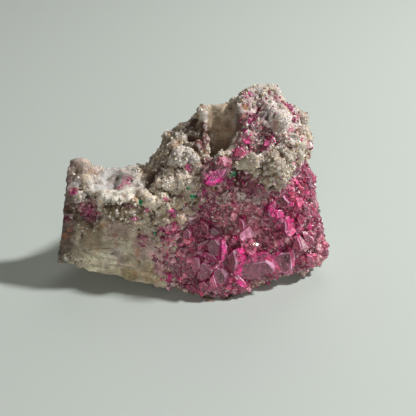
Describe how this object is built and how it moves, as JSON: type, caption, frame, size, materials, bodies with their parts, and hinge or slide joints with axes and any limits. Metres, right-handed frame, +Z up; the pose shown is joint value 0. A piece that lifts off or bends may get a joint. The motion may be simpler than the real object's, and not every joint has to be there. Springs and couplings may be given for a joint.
{
  "type": "cobaltocalcite specimen",
  "caption": "Rough block of pale host rock with a wall of magenta rhombohedral crystals and small crystal pockets, lying on a flat facet.",
  "frame": {"origin": "middle of the bottom of the bounding box, on the surface that the specimen lies on", "axes": "+X along the specimen's length, towards its high end; -Y the side with the crystal wall; +Z up"},
  "size_m": [0.0626, 0.0322, 0.0431],
  "materials": {
    "host_rock": "rough, crumbly carbonate rock, cream to white, stained tan and pink",
    "magenta_crystal": "translucent magenta crystals with a soft vitreous gloss"
  },
  "bodies": {
    "root": {"matrix": "host_rock", "crystal_wall": "magenta_crystal", "ledge_crystals": "magenta_crystal", "pocket_crystals": "magenta_crystal", "head_crystals": "magenta_crystal", "tan_ledge_crystals": "magenta_crystal", "left_face_crystals": "magenta_crystal", "left_end_crystals": "magenta_crystal"}
  },
  "joints": []
}
